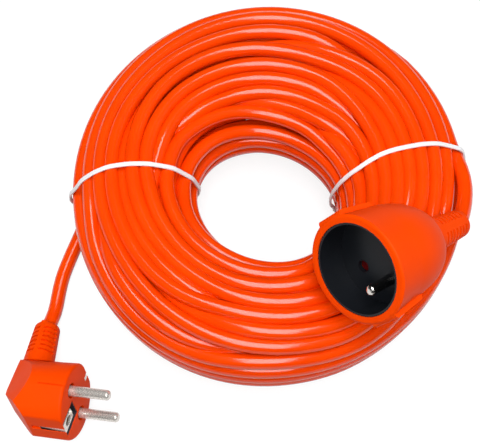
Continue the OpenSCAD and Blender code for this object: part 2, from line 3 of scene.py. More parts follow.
import bmesh
import bpy
import numpy as np
from mathutils import Euler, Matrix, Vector


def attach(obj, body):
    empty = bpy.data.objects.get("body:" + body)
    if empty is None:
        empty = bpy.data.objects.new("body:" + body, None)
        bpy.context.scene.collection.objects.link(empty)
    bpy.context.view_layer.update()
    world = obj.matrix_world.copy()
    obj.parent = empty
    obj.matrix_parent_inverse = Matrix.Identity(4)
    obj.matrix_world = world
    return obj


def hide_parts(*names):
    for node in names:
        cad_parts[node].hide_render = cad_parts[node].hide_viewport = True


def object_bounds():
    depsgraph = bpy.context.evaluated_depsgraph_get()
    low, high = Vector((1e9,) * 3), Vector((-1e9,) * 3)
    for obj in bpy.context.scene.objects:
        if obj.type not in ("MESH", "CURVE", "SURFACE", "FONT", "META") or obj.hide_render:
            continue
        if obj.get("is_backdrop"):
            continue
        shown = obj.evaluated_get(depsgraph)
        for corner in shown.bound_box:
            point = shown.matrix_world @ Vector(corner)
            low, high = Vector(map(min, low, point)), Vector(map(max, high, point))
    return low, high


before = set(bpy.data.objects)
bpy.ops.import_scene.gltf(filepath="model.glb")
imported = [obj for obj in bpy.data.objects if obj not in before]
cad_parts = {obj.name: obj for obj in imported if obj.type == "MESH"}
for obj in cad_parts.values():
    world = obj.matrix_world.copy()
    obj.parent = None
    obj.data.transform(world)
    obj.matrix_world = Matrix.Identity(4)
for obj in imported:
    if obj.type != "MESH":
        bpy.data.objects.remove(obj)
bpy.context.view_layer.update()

# ---- Camera
# A long lens from the front and high above, aimed a little left of the coil's middle.
MM = 0.001
picture_px = 480
focal_px = 900
look_down = math.radians(67)
camera_far = 480 * MM
aim = Vector((-1.3, 6.2, 0)) * MM

camera_data = bpy.data.cameras.new("camera")
camera_data.sensor_width = 36
camera_data.lens = camera_data.sensor_width * focal_px / picture_px
camera_data.clip_start, camera_data.clip_end = 0.02, 20
camera = bpy.data.objects.new("camera", camera_data)
bpy.context.scene.collection.objects.link(camera)
bpy.context.scene.camera = camera
sight = Vector((0, math.cos(look_down), -math.sin(look_down)))
camera.location = aim - camera_far * sight
camera.rotation_euler = (math.pi / 2 - look_down, 0, 0)

# ---- Sheathed cord, three cores in orange PVC, 25 m by 7.4 mm
# One unbroken length: out of the plug's boot, round the ring some 59 times, and up into the
# socket's boot. It was wound by hand, so the turns that show lie where they fell.
cord_d = 7.4
ring_middle = np.array([11.5, 5.0, 0.0])
ring_half_h = 30.0
section_power = 2.4
samples = 72
step = 360 / samples


def ring_radius(bearing):
    """Radius of the bundle's middle; the ring lies a little off a true circle."""
    b = np.radians(bearing)
    return 66.8 + np.cos(b) + 3.5 * np.sin(b) - 0.6 * np.cos(2 * b) - 0.5 * np.sin(2 * b)


def ring_half_width(bearing):
    """Half the bundle's width, which is fullest at the back."""
    b = np.radians(bearing)
    return 32.9 + 0.4 * np.cos(b) + 5.6 * np.sin(b) - 1.5 * np.cos(2 * b) + 1.7 * np.sin(2 * b)


def powered(v):
    """From a circle's share of its half width to that of the boxier, rounded section."""
    return np.sign(v) * np.abs(v) ** (2 / section_power)


def section_point(bearing, angle, inset):
    """Radius and height of a point of the bundle's section, inset from its outside."""
    a = np.radians(angle)
    r = ring_radius(bearing) + (ring_half_width(bearing) - inset) * powered(np.cos(a))
    return np.stack([r, ring_half_h + (ring_half_h - inset) * powered(np.sin(a))], -1)


# Equal steps along the section's outline at its narrow side, as a table from share to angle.
narrow_side = 270
table_angles = np.arange(0, 361, 2.5)
table_points = section_point(narrow_side + 0 * table_angles, table_angles, cord_d / 2)
table_shares = np.concatenate([[0], np.cumsum(np.hypot(*np.diff(table_points, axis=0).T))])
table_shares *= 100 / table_shares[-1]


def laid(bearing, share, depth):
    """Where a strand lies: its share of the way round the section in percent, and how deep."""
    angle = np.interp(share % 100, table_shares, table_angles)
    return section_point(bearing, angle, cord_d / 2 + depth)


# Each turn is a list of bearing, share and depth. The turns that show, from the hole outwards:
showing_turns = [
    [(290, 40, 0), (270, 40.5, 0), (230, 39, 0), (205, 39.3, 0), (185, 41, 0), (150, 43, 0),
     (100, 45.3, 0), (60, 46, 0), (30, 46, 0), (-10, 45.5, 0)],
    [(290, 36, 0), (270, 36, 0), (250, 35.2, 0), (220, 34.5, 0), (170, 34.7, 0), (150, 35.2, 0),
     (130, 36.5, 0), (110, 38.3, 0), (90, 39, 0), (50, 40.3, 0), (15, 41, 0), (-10, 40.5, 0)],
    [(290, 37, 6), (120, 38.5, 6), (80, 38.6, 5), (60, 38.6, 3), (40, 38.3, 1), (-10, 38, 0)],
    [(290, 35, 6.5), (150, 35.5, 6.5), (120, 36.5, 6), (105, 37, 4), (90, 37.2, 2),
     (60, 37.1, 1.5), (30, 36.6, 1.5), (-10, 36.3, 1.5)],
    [(290, 33.5, 6), (200, 32.5, 6), (165, 33, 6), (150, 33.7, 4), (135, 34.5, 1),
     (115, 34.8, 0), (55, 34.5, 0), (30, 34.1, 0), (-10, 34, 0)],
    [(290, 30, 6.5), (200, 31.3, 6), (180, 31.6, 4.5), (165, 31.7, 2.5), (150, 31.8, 1),
     (115, 31.3, 0), (90, 31.3, 0), (60, 31.1, 1), (48, 31.3, 3), (35, 32, 5.5), (-10, 32.5, 6.5)],
    [(290, 31, 0), (275, 31.3, 0), (250, 30.8, 0), (225, 30.4, 0), (180, 30, 0), (165, 29, 0),
     (150, 28.3, 0), (130, 27.7, 0), (90, 27.9, 0), (60, 28.5, 0), (40, 29.4, 0), (20, 30.3, 0),
     (-10, 30.8, 0)],
    [(290, 28.5, 5), (200, 28, 6), (90, 26, 6), (65, 26.3, 4.5), (50, 26.8, 2), (35, 27, 0.5),
     (20, 27.2, 0), (-10, 27.8, 0)],
    [(287, 26, 0), (275, 26.6, 0), (260, 27, 0), (240, 27.2, 0), (220, 27, 0), (200, 26.5, 0),
     (180, 25.7, 0), (165, 24.7, 0), (150, 23.8, 0), (130, 23.3, 0), (110, 23.4, 0),
     (90, 23.9, 0), (70, 24.5, 0), (40, 24, 0), (15, 24.8, 0), (-10, 25, 0)],
    [(290, 24.2, 6), (265, 24.3, 5), (250, 24.2, 2.5), (240, 24.1, 1.5), (215, 24, 1.5),
     (190, 23, 1.5), (165, 21.8, 2), (155, 21.5, 4), (140, 21.5, 6), (100, 22.3, 6),
     (88, 22.8, 4), (80, 22.6, 2), (70, 22.2, 0.5), (55, 21.2, 0), (40, 20.6, 0), (20, 21.2, 0),
     (-10, 21.8, 0)],
    [(287, 22, 0), (275, 22.5, 0), (262, 22.8, 0), (240, 22, 0), (220, 21.3, 0), (180, 20.3, 0),
     (165, 19.5, 0), (150, 19, 0), (130, 19.3, 0), (110, 19.7, 0), (95, 19.3, 0), (80, 19.4, 0),
     (68, 19.8, 1), (58, 20, 4), (45, 19.8, 6), (-10, 20, 6)],
    [(297, 15.5, 0), (288, 16.7, 0), (275, 17.8, 0), (265, 18.6, 0), (250, 19.3, 1.5),
     (240, 19.2, 3.5), (228, 18.8, 6), (190, 18.5, 6.5), (100, 17.5, 6.5), (-10, 18.5, 6.5)],
    [(295, 13.2, 0), (280, 14.3, 0), (265, 14.8, 0), (250, 15.3, 0), (230, 16, 0), (210, 16.7, 0),
     (190, 17, 0.5), (175, 16.5, 0.5), (160, 16, 0), (130, 16, 0), (115, 15.3, 0), (88, 14.3, 0),
     (75, 15, 0), (60, 15.8, 0), (40, 16.8, 0), (20, 17.5, 0), (-10, 18, 0)],
    [(290, 10, 6), (262, 9, 5.5), (250, 10.2, 2), (238, 11.3, 0.5), (225, 12.5, 0), (215, 13.3, 0),
     (205, 14, 0.5), (195, 14.6, 3), (185, 15, 6), (100, 13, 6.5), (-10, 15, 6.5)],
    [(300, 7.2, 0), (290, 8, 0), (280, 9, 0), (270, 9.4, 0), (260, 9, 0), (250, 7.8, 0),
     (240, 6.7, 0), (230, 6.7, 0), (215, 8.2, 0), (200, 11, 0), (190, 13.3, 0), (180, 13.8, 0),
     (165, 13.8, 0), (150, 13.2, 0), (120, 11.8, 0), (90, 10.3, 0), (60, 11.5, 0), (30, 13.2, 0),
     (-10, 14.5, 0)],
]


def even_turns(first, last, count, depth):
    return [[(290, share, depth), (-10, share, depth)] for share in np.linspace(first, last, count)]


under_turns = even_turns(89, 76, 4, 0)
core_turns = (
    even_turns(74, 51, 6, 6.4) + even_turns(44, -48, 10, 12.8) + even_turns(-40, 60, 6, 19.2)
    + even_turns(50, 30, 2, 25) + even_turns(10, -22, 6, 6.4))
inner_turns = even_turns(72, 50, 6, 0)
# The last turns lie on the outside one above the other, and the last one climbs to be the lead.
outer_turns = [
    [(340, 13, 3), (320, 6, 6.5), (300, -3, 6.5), (280, -6.5, 1), (-10, -6.5, 0)],
    [(290, -2.5, 0), (-10, -2.5, 0)],
    [(290, 1.5, 0), (-10, 1.5, 0)],
    [(290, 5.5, 0), (140, 5.5, 0), (90, 7.6, 0), (60, 9.2, 0), (-10, 9.4, 0)]]
wound_turns = under_turns + core_turns + inner_turns + showing_turns + outer_turns

# The whole winding unrolled: bearing falls by a full circle with each turn.
knots = np.array([
    (bearing - 360 * turn, share, depth)
    for turn, points in enumerate(wound_turns) for bearing, share, depth in points])
knots[:, 1] = np.unwrap(knots[:, 1], period=100)
winding_starts = 150
winding_ends = 61 - 360 * (len(wound_turns) - 1)
turn_changes_at = 295
bearings = np.arange(winding_starts, winding_ends - 0.1, -step)
share = np.interp(-bearings, -knots[:, 0], knots[:, 1])
depth = np.interp(-bearings, -knots[:, 0], knots[:, 2])
wanted = laid(bearings, share, depth)

# The turns settle: cords push each other apart, the ties hold the bundle's outline, and a cord
# doesn't kink. Turns at one bearing are compared with each other, and the places left over in
# the last turn's row are put far off, where they touch nothing.
count = len(bearings)
turn_of = np.floor((turn_changes_at - bearings) / 360)
rows = math.ceil(count / samples)
far_off, off_by = 1e4, 1e3
nudge = 0.2
settled = np.full((rows * samples, 2), far_off)
settled[:count] = wanted + nudge * np.sin(np.outer(turn_of, (1, 2)))
settled[count:, 0] += off_by * np.arange(rows * samples - count)
first_showing = len(under_turns + core_turns + inner_turns)
shows = (turn_of >= first_showing) & (turn_of < first_showing + len(showing_turns))
pull_showing, pull_hidden = 0.25, 0.01
push_rate, straighten_rate, hold_rate = 0.3, 0.2, 0.7
pull = np.where(shows, pull_showing, pull_hidden)[:, None]
middle_r = ring_radius(bearings)
room = np.stack([ring_half_width(bearings), 0 * bearings + ring_half_h], -1) - cord_d / 2
rounds = 400
for _ in range(rounds):
    here = settled.reshape(rows, samples, 2)
    apart = here[:, None] - here[None]
    gap = np.hypot(apart[..., 0], apart[..., 1]) + np.eye(rows)[..., None] * off_by
    push = np.clip(cord_d - gap, 0, None) / np.maximum(gap, 0.1)
    settled += push_rate * (apart * push[..., None]).sum(1).reshape(-1, 2)
    line = settled[:count]
    line[1:-1] += straighten_rate * (line[:-2] + line[2:] - 2 * line[1:-1])
    line += pull * (wanted - line)
    off = (line - np.stack([middle_r, 0 * middle_r + ring_half_h], -1)) / room
    reach = (np.abs(off) ** section_power).sum(1) ** (1 / section_power)
    line -= off * room * np.clip(1 - 1 / np.maximum(reach, 0.01), 0, None)[:, None] * hold_rate
    settled[:count] = line
line = settled[:count]
wound = np.stack([
    line[:, 0] * np.cos(np.radians(bearings)), line[:, 0] * np.sin(np.radians(bearings)),
    line[:, 1]], -1) + ring_middle

# The two free leads, from inside each boot to where they join the winding. The connectors' own
# axes: x runs out of the face, and y, on the plug, along the boot. The plug's boot leans back,
# and the socket's rear end droops by a share of its length behind the barrel.
plug_at = ring_middle + [-89, -99.5, 23.25]
plug_turn = Euler([math.radians(a) for a in (-19, -10, -9)])
socket_at = ring_middle + [34.5, -60.5, 95]
socket_turn = Euler([math.radians(a) for a in (-106, -28.5, -143.5)])


def on_plug(*point):
    return plug_at + np.array(plug_turn.to_matrix() @ Vector(point))


def on_socket(*point):
    return socket_at + np.array(socket_turn.to_matrix() @ Vector(point))


def beside_ring(bearing, r, z):
    b = math.radians(bearing)
    return ring_middle + np.array([r * math.cos(b), r * math.sin(b), z])


boot_lean = math.radians(8)
boot_x, boot_foot = -25.5, 14.7
barrel_l = 15
rear_droop = 0.05
last_slot = 9.4
plug_lead = [
    on_plug(boot_x - y * math.sin(boot_lean), boot_foot + y * math.cos(boot_lean), 0)
    for y in (0, 6, 12, 18, 25.5)
] + [beside_ring(*p) for p in (
    (205.4, 117.8, 3.75), (201.6, 113.7, 3.7), (198.7, 110.8, 3.7), (196.0, 108.1, 3.7),
    (193.4, 105.1, 3.7), (190.6, 102.2, 3.9), (188.1, 99.6, 4.4), (185.2, 96.8, 5.3),
    (181, 93.6, 6.9), (175, 91.2, 8.7), (168, 90.2, 10), (160, 90.2, 10.8))]
socket_lead = [
    beside_ring(bearing, *laid(bearing, last_slot, 0)) for bearing in (52, 43, 34, 26, 19, 13)
] + [beside_ring(*p) for p in (
    (7, 94.6, 49.2), (1, 95.4, 51), (-5, 94.6, 53), (-10.5, 93.2, 56))
] + [on_socket(x, 0, -rear_droop * (x + barrel_l)) for x in (-75, -67, -61, -55, -49)]
cord_points = np.concatenate([plug_lead, wound[2:-3], socket_lead])

cord_curve = bpy.data.curves.new("cord", "CURVE")
cord_curve.dimensions = "3D"
cord_curve.bevel_depth = cord_d / 2 * MM
cord_curve.bevel_resolution = 5
cord_curve.use_fill_caps = True
cord_curve.resolution_u = 2
spline = cord_curve.splines.new("NURBS")
spline.points.add(len(cord_points) - 1)
spline.points.foreach_set(
    "co", np.hstack([cord_points * MM, np.ones((len(cord_points), 1))]).ravel())
spline.order_u = 4
spline.use_endpoint_u = True
spline.use_smooth = True
cord = bpy.data.objects.new("cord", cord_curve)
bpy.context.scene.collection.objects.link(cord)


class Shade:
    """One output of a material's nodes; its sums, differences and products are Math nodes."""

    def __init__(self, tree, out=None):
        self.tree = tree
        self.out = out

    def node(self, kind, inputs=(), out=0, **settings):
        made = self.tree.nodes.new(kind)
        for name, value in settings.items():
            setattr(made, name, value)
        for name, value in dict(inputs).items():
            if isinstance(value, Shade):
                self.tree.links.new(value.out, made.inputs[name])
            else:
                made.inputs[name].default_value = value
        return Shade(self.tree, made.outputs[out])

    def maths(self, operation, a, b):
        return self.node("ShaderNodeMath", {0: a, 1: b}, operation=operation)

    def __add__(self, other):
        return self.maths("ADD", self, other)

    def __sub__(self, other):
        return self.maths("SUBTRACT", self, other)

    def __mul__(self, other):
        return self.maths("MULTIPLY", self, other)

    __radd__ = __add__
    __rmul__ = __mul__

    def mixed(self, a, b):
        """Colour a where this is 0 and b where it is 1."""
        return self.node(
            "ShaderNodeMix", {0: self, 6: a, 7: b}, out=2, data_type="RGBA", clamp_factor=True)

    def bump(self, strength, distance):
        return self.node(
            "ShaderNodeBump", {"Strength": strength, "Distance": distance, "Height": self})


def new_finish(name):
    """A material with a Principled shader, the shader, and a start for its nodes."""
    material = bpy.data.materials.new(name)
    material.use_nodes = True
    shader = material.node_tree.nodes["Principled BSDF"]
    return material, shader, Shade(material.node_tree)


def join(value, shader, socket):
    value.tree.links.new(value.out, shader.inputs[socket])


cord_finish, shader, start = new_finish("orange_cord_sheath")
place = start.node("ShaderNodeTexCoord", out="Object")
cloudy = start.node("ShaderNodeTexNoise", {"Vector": place, "Scale": 45, "Detail": 3})
fine = start.node("ShaderNodeTexNoise", {"Vector": place, "Scale": 350, "Detail": 1})
cord_deep, cord_bright = (0.82, 0.052, 0.0001, 1), (0.88, 0.062, 0.0003, 1)
join(((cloudy - 0.35) * 2.2).mixed(cord_deep, cord_bright), shader, "Base Color")
join(0.11 + 0.02 * fine + 0.04 * cloudy, shader, "Roughness")
join((fine * 0.3 + cloudy * 0.7).bump(0.03, 0.0006), shader, "Normal")
shader.inputs["Specular IOR Level"].default_value = 0.4
shader.inputs["Subsurface Weight"].default_value = 0.08
shader.inputs["Subsurface Radius"].default_value = (0.004, 0.001, 0.0005)
shader.inputs["Subsurface Scale"].default_value = 0.3
cord_curve.materials.append(cord_finish)
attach(cord, "cord")
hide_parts("cable_coil", "coil_core", "plug_lead", "socket_lead")

# ---- Plug body, orange PVC moulded round the contacts in one piece with its ribbed boot
# Its round front is flat above and below, and the boot leans back from the pins a little.
moulded, shader, start = new_finish("orange_moulded_pvc")
place = start.node("ShaderNodeTexCoord", out="Object")
cloudy = start.node("ShaderNodeTexNoise", {"Vector": place, "Scale": 60, "Detail": 4})
grain = start.node("ShaderNodeTexNoise", {"Vector": place, "Scale": 1400, "Detail": 2})
body_deep, body_bright = (0.84, 0.056, 0.0001, 1), (0.9, 0.064, 0.0003, 1)
join(((cloudy - 0.3) * 2).mixed(body_deep, body_bright), shader, "Base Color")
join(0.4 + 0.06 * grain + 0.06 * cloudy, shader, "Roughness")
join(grain.bump(0.04, 0.0003), shader, "Normal")
shader.inputs["Specular IOR Level"].default_value = 0.05

table_gap = 0.02
weld_m = 2e-6
crease = math.radians(32)
# How far beside a size a corner still counts as lying on that face
slack = 0.2


def formed(name, node, at, turn, moved, finish):
    """The node's solid with its corners moved, in the connector's own axes, to the real form."""
    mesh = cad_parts[node].data.copy()
    mesh.name = name
    mesh.attributes.remove(mesh.attributes["custom_normal"])
    axes = np.array(turn.to_matrix())
    corners = np.empty(len(mesh.vertices) * 3)
    mesh.vertices.foreach_get("co", corners)
    x, y, z = ((corners.reshape(-1, 3) / MM - at) @ axes).T
    corners = np.stack(moved(x, y, z), -1) @ axes.T + at
    corners[:, 2] = np.maximum(corners[:, 2], table_gap)
    mesh.vertices.foreach_set("co", (corners * MM).ravel())
    welded = bmesh.new()
    welded.from_mesh(mesh)
    bmesh.ops.remove_doubles(welded, verts=welded.verts, dist=weld_m)
    welded.to_mesh(mesh)
    welded.free()
    mesh.shade_smooth()
    mesh.set_sharp_from_angle(angle=crease)
    mesh.materials.clear()
    mesh.materials.append(finish)
    piece = bpy.data.objects.new(name, mesh)
    bpy.context.scene.collection.objects.link(piece)
    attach(piece, "cord")
    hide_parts(node)
    return piece


# The solid's own sizes: its round front, the boot's root and the back that slopes to its end
plug_r, plug_half_h = 18.5, 16.4
root_y = 16
boot_root_r, boot_thinning, boot_l = 7.8, 1.4, 20.8
rib_reach, front_slack = 0.8, 0.08
cord_bore_r = 4.8
slope_x, slope_l = -18, 18.4
groove_y, groove_half_w, groove_end = 15.1, 4, -16.6
# What the real one has instead. Within inner_r, where the contacts are, nothing is squeezed.
squat = 0.945
inner_r = 13.5
back_shorter, back_lower, back_thinner = 3.1, 2.9, 0.32
lower_below_y = 8
groove_slim_half_w = 1.3
web_at, web_half = 92, 13


def plug_form(x, y, z):
    on_boot = (np.hypot(x - boot_x, z) < boot_root_r + rib_reach) & (y > plug_half_h)
    at_foot = on_boot & (np.abs(np.hypot(y, z) - plug_r) < front_slack)
    sin, cos = math.sin(boot_lean), math.cos(boot_lean)
    across, up = x - boot_x, y - root_y
    # A plain web up one side of the boot parts its ribs.
    boot_r = boot_root_r - boot_thinning * np.clip(up / boot_l, 0, 1)
    r = np.hypot(across, z)
    round_boot = np.degrees(np.arctan2(z, across))
    web = on_boot & (r > cord_bore_r) & (r < boot_r - slack) & (
        np.abs(round_boot - web_at) < web_half)
    fill = np.where(web, boot_r / np.maximum(r, 1), 1)
    across, z = across * fill, z * fill
    back = np.clip((slope_x - x) / slope_l, 0, 1)
    new_x = np.where(on_boot, boot_x + across * cos - up * sin, x + back_shorter * back)
    foot_x = boot_x + across / cos - (plug_half_h * squat - boot_foot) * sin / cos
    new_x = np.where(at_foot, foot_x, new_x)
    squeezed = np.where(np.hypot(y, z) > inner_r, squat, 1)
    lowered = back_lower * back * np.clip((lower_below_y - y) / lower_below_y, 0, 1)
    new_y = squeezed * np.clip(y, -plug_half_h, plug_half_h) - lowered
    new_y = np.where(on_boot, boot_foot + up * cos + across * sin, new_y)
    new_y = np.where(at_foot, plug_half_h * squat, new_y)
    in_groove = (np.abs(y) > groove_y) & (np.abs(z) < groove_half_w + 0.1) & (x > groove_end)
    in_groove &= ~on_boot
    new_z = np.where(on_boot, z, z * (1 - back_thinner * back))
    return new_x, new_y, np.where(in_groove, z * groove_slim_half_w / groove_half_w, new_z)


plug = formed("plug_moulding", "plug_body", plug_at, plug_turn, plug_form, moulded)

# ---- Socket shell, moulded in the same PVC round its black liner
# Its barrel narrows towards the shoulder, two raised flats for the fingers slope with it, and
# the cord's pull bends its rear end down a little.
# The solid's own sizes
barrel_r, shoulder_l, neck_r = 24, 30, 9
lug_front, lug_l, lug_half_w, lug_top = -0.6, 32.4, 7.05, 25
notch_rear, notch_front, notch_floor_r, notch_top_r = -41.2, -36, 14.5, 17.2
boot_front, boot_run, boot_bore_r = -45, 30, 4.9
surface_slack = 0.3
# What the real one has instead
barrel_narrows, fuller_neck_r = 1.8, 9.5
lug_short_l, lug_falls = 20, 2.2
notch_deeper = 0.7
boot_widest, boot_tapers = 1.06, 0.17


def shoulder(x, front_r, rear_r):
    """Radius of the round shoulder that runs from a barrel of front_r to a neck of rear_r."""
    behind = np.minimum(x + barrel_l, 0) / shoulder_l
    return rear_r + (front_r - rear_r) * np.sqrt(np.clip(1 - behind ** 2, 0, 1))


def socket_form(x, y, z):
    r = np.hypot(y, z)
    above = r - shoulder(x, barrel_r, neck_r)
    outside = np.abs(above) < surface_slack
    on_lug = (np.abs(y) < lug_half_w) & (x > lug_front - lug_l - slack)
    on_lug &= above > -surface_slack
    new_x = np.where(on_lug, lug_front + (x - lug_front) * lug_short_l / lug_l, x)
    narrowed_r = barrel_r - barrel_narrows * np.clip(-new_x / barrel_l, 0, 1)
    in_notch = (x > notch_rear) & (x < notch_front) & (r > notch_floor_r) & (r < notch_top_r)
    scale = np.where(outside, shoulder(new_x, narrowed_r, fuller_neck_r) / r, 1)
    scale = np.where(in_notch, (neck_r + (r - neck_r) * notch_deeper) / r, scale)
    on_boot = (x < boot_front - slack) & (r > boot_bore_r)
    slimmed = boot_widest - boot_tapers * np.clip((boot_front - x) / boot_run, 0, 1)
    scale = np.where(on_boot, slimmed, scale)
    on_top = on_lug & (above >= surface_slack)
    fall = (lug_falls / lug_top) * np.clip((lug_front - x) / lug_l, 0, 1)
    droop = rear_droop * np.clip(-barrel_l - new_x, 0, None)
    return new_x, np.where(on_top, y, y * scale), np.where(on_top, z * (1 - fall), z * scale) + droop


socket = formed(
    "socket_moulding", "socket_shell", socket_at, socket_turn, socket_form, moulded)

# ---- Black and dark plastics: the socket's liner and contact carrier, the plug's pin carrier
# The liner sits in the shell's front with the contact carrier behind it. The pin carrier is
# moulded into the plug, and its ends ring the two pins.
def dress(node, finish):
    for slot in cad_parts[node].material_slots:
        slot.material = finish


def patches(scale, detail=3):
    """A soft, uneven pattern, as patterned_finish takes it."""
    return "ShaderNodeTexNoise", {"Scale": scale, "Detail": detail}, 0


def patterned_finish(name, low, high, pattern, grain, rough, rougher, bump):
    """A finish that wanders from colour low to high by a pattern, under a fine grain.

    grain is the grain's scale. It adds up to rougher to the roughness, and bump is its strength
    and its depth in metres."""
    finish, shader, start = new_finish(name)
    place = start.node("ShaderNodeTexCoord", out="Object")
    kind, settings, out = pattern
    marks = start.node(kind, {"Vector": place, **settings}, out=out)
    fine = start.node("ShaderNodeTexNoise", {"Vector": place, "Scale": grain, "Detail": 2})
    join(marks.mixed(low, high), shader, "Base Color")
    join(rough + rougher * fine, shader, "Roughness")
    join(fine.bump(*bump), shader, "Normal")
    return finish, shader


for name, nodes, tone, rough in (
        ("black_liner_plastic", ("socket_well", "socket_contact_carrier"), 0.006, 0.34),
        ("dark_carrier_plastic", ("plug_pin_carrier",), 0.02, 0.42)):
    low = (tone, tone * 1.1, tone * 1.4, 1)
    high = (tone * 1.5, tone * 1.8, tone * 2.4, 1)
    plastic, shader = patterned_finish(
        name, low, high, patches(80), 1800, rough, 0.1, (0.08, 0.0003))
    shader.inputs["Specular IOR Level"].default_value = 0.3
    for node in nodes:
        dress(node, plastic)

# ---- Metal pieces: plated pins and earth strap, brass tubes, tinned crimps, the steel spring
# Pins and tubes are held by their carriers, and each is crimped to its core inside the
# moulding. The spring turns the shutter back.
for name, nodes, dull, bright, rough in (
        ("nickel_plated_brass",
         ("plug_pin_line", "plug_pin_neutral", "plug_earth_bracket"),
         (0.66, 0.62, 0.57, 1), (0.78, 0.75, 0.7, 1), 0.2),
        ("polished_nickel", ("socket_earth_pin",),
         (0.5, 0.47, 0.43, 1), (0.74, 0.71, 0.67, 1), 0.12),
        ("bare_brass", ("plug_earth_sleeve", "socket_contact_line", "socket_contact_neutral"),
         (0.6, 0.42, 0.16, 1), (0.78, 0.6, 0.28, 1), 0.24),
        ("tinned_copper", ("plug_crimps", "socket_crimps"),
         (0.5, 0.5, 0.5, 1), (0.68, 0.68, 0.67, 1), 0.34),
        ("spring_wire", ("shutter_spring",), (0.36, 0.36, 0.38, 1), (0.55, 0.55, 0.56, 1), 0.28)):
    metal, shader = patterned_finish(
        name, dull, bright, patches(160, 4), 2600, rough, 0.14, (0.05, 0.0002))
    shader.inputs["Metallic"].default_value = 0.6 if name == "nickel_plated_brass" else 1
    for node in nodes:
        dress(node, metal)

# ---- Plug's earth pieces: the bent strip in the window and along the sides, and its tube
# The strip is narrow and sunk where it lies in the side grooves, and its far end shows in the
# face. Its plate and the tube stand a little nearer the face than the solids have them.
nearer_face = 0.9
strip_y, strip_sunk = 15.5, 1.6
strip_slim, plate_slim = 0.12, 0.8
plate_from_x, plate_low_y = -2.5, -15


def bracket_form(x, y, z):
    in_window = (y < 0) & (x > plate_from_x)
    in_groove = (np.abs(y) > strip_y) & ~in_window
    plate_y = np.where(in_window, np.maximum(y, plate_low_y), y)
    new_y = np.where(in_groove, squat * y - strip_sunk * np.sign(y), plate_y)
    return x + nearer_face * in_window, new_y, z * np.where(in_groove, strip_slim, plate_slim)


def sleeve_form(x, y, z):
    return x + nearer_face, y, z


for name, node, form, slot in (
        ("earth_strip", "plug_earth_bracket", bracket_form, "nickel_plate"),
        ("earth_tube", "plug_earth_sleeve", sleeve_form, "brass")):
    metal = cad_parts[node].material_slots[0].material
    piece = formed(name, node, plug_at, plug_turn, form, metal)

# ---- Shutter, red plastic, and the three cores of each connector
# The shutter turns on the contact carrier's pivot, behind the liner's entry holes. The cores,
# brown, blue and striped green and yellow, run from the cord's end to the crimps.
stripes = ("ShaderNodeTexWave", {"Scale": 90, "Distortion": 0.5}, "Fac")
for name, nodes, low, high, rough in (
        ("red_shutter_plastic", ("socket_shutter",), (0.1, 0.002, 0.003, 1),
         (0.16, 0.004, 0.005, 1), 0.36),
        ("brown_core", ("plug_wire_brown", "socket_wire_brown"), (0.07, 0.028, 0.012, 1),
         (0.1, 0.042, 0.018, 1), 0.42),
        ("blue_core", ("plug_wire_blue", "socket_wire_blue"), (0.015, 0.07, 0.32, 1),
         (0.03, 0.1, 0.42, 1), 0.42),
        ("earth_core", ("plug_wire_earth", "socket_wire_earth"), (0.6, 0.5, 0.02, 1),
         (0.03, 0.26, 0.04, 1), 0.42)):
    pattern = stripes if name == "earth_core" else patches(200)
    plastic, shader = patterned_finish(
        name, low, high, pattern, 2000, rough, 0.1, (0.06, 0.0002))
    for node in nodes:
        dress(node, plastic)

# ---- Ties: white plastic strip over two thin wires, 2.4 mm wide
# Each is pulled tight round the bundle, the right one round the socket's lead too, and its
# two ends are twisted together and pressed against the turns on the side of the hole.
tie_w, tie_t = 2.4, 1.2
tie_over = 0.35
tie_low = 0.1
loop_steps = 160
ends_at, end_reach, end_steps = 212, 8, 34
end_turns, end_wire_r, end_apart, end_out = 2.2, 0.55, 0.56, 1.75
tie_white, shader, start = new_finish("white_tie_plastic")
place = start.node("ShaderNodeTexCoord", out="Object")
cloudy = start.node("ShaderNodeTexNoise", {"Vector": place, "Scale": 120, "Detail": 3})
join(cloudy.mixed((0.72, 0.72, 0.74, 1), (0.84, 0.84, 0.84, 1)), shader, "Base Color")
join(0.34 + 0.1 * cloudy, shader, "Roughness")
join(cloudy.bump(0.1, 0.0004), shader, "Normal")


def wrapped_round(points):
    """The convex outline of points in a plane, counter-clockwise."""
    ordered = sorted(map(tuple, points))
    outline = []
    for some in (ordered, ordered[::-1]):
        chain = []
        for p in some:
            while len(chain) > 1 and (
                    (chain[-1][0] - chain[-2][0]) * (p[1] - chain[-2][1])
                    - (chain[-1][1] - chain[-2][1]) * (p[0] - chain[-2][0])) <= 0:
                chain.pop()
            chain.append(p)
        outline += chain[:-1]
    return np.array(outline)


def sweep(path, ups, profile, closed):
    """The corners and faces of that profile along a path, its second axis towards ups."""
    path = np.asarray(path)
    ahead = np.roll(path, -1, 0) - np.roll(path, 1, 0)
    if not closed:
        ahead[0], ahead[-1] = path[1] - path[0], path[-1] - path[-2]
    ahead /= np.linalg.norm(ahead, axis=1)[:, None]
    side = np.cross(ahead, ups)
    side /= np.linalg.norm(side, axis=1)[:, None]
    up = np.cross(side, ahead)
    verts = [
        tuple((c + x * s + y * u) * MM)
        for c, s, u in zip(path, side, up) for x, y in profile]
    rings, n = len(path), len(profile)
    faces = [
        (i * n + k, i * n + (k + 1) % n, (i + 1) % rings * n + (k + 1) % n, (i + 1) % rings * n + k)
        for i in range(rings if closed else rings - 1) for k in range(n)]
    if not closed:
        faces += [tuple(range(n))[::-1], tuple(range((rings - 1) * n, rings * n))]
    return verts, faces


def solid(name, parts):
    """One object of several lists of corners and faces."""
    verts, faces = [], []
    for corners, sides in parts:
        faces += [tuple(k + len(verts) for k in side) for side in sides]
        verts += corners
    mesh = bpy.data.meshes.new(name)
    mesh.from_pydata(verts, [], faces)
    piece = bpy.data.objects.new(name, mesh)
    bpy.context.scene.collection.objects.link(piece)
    return piece


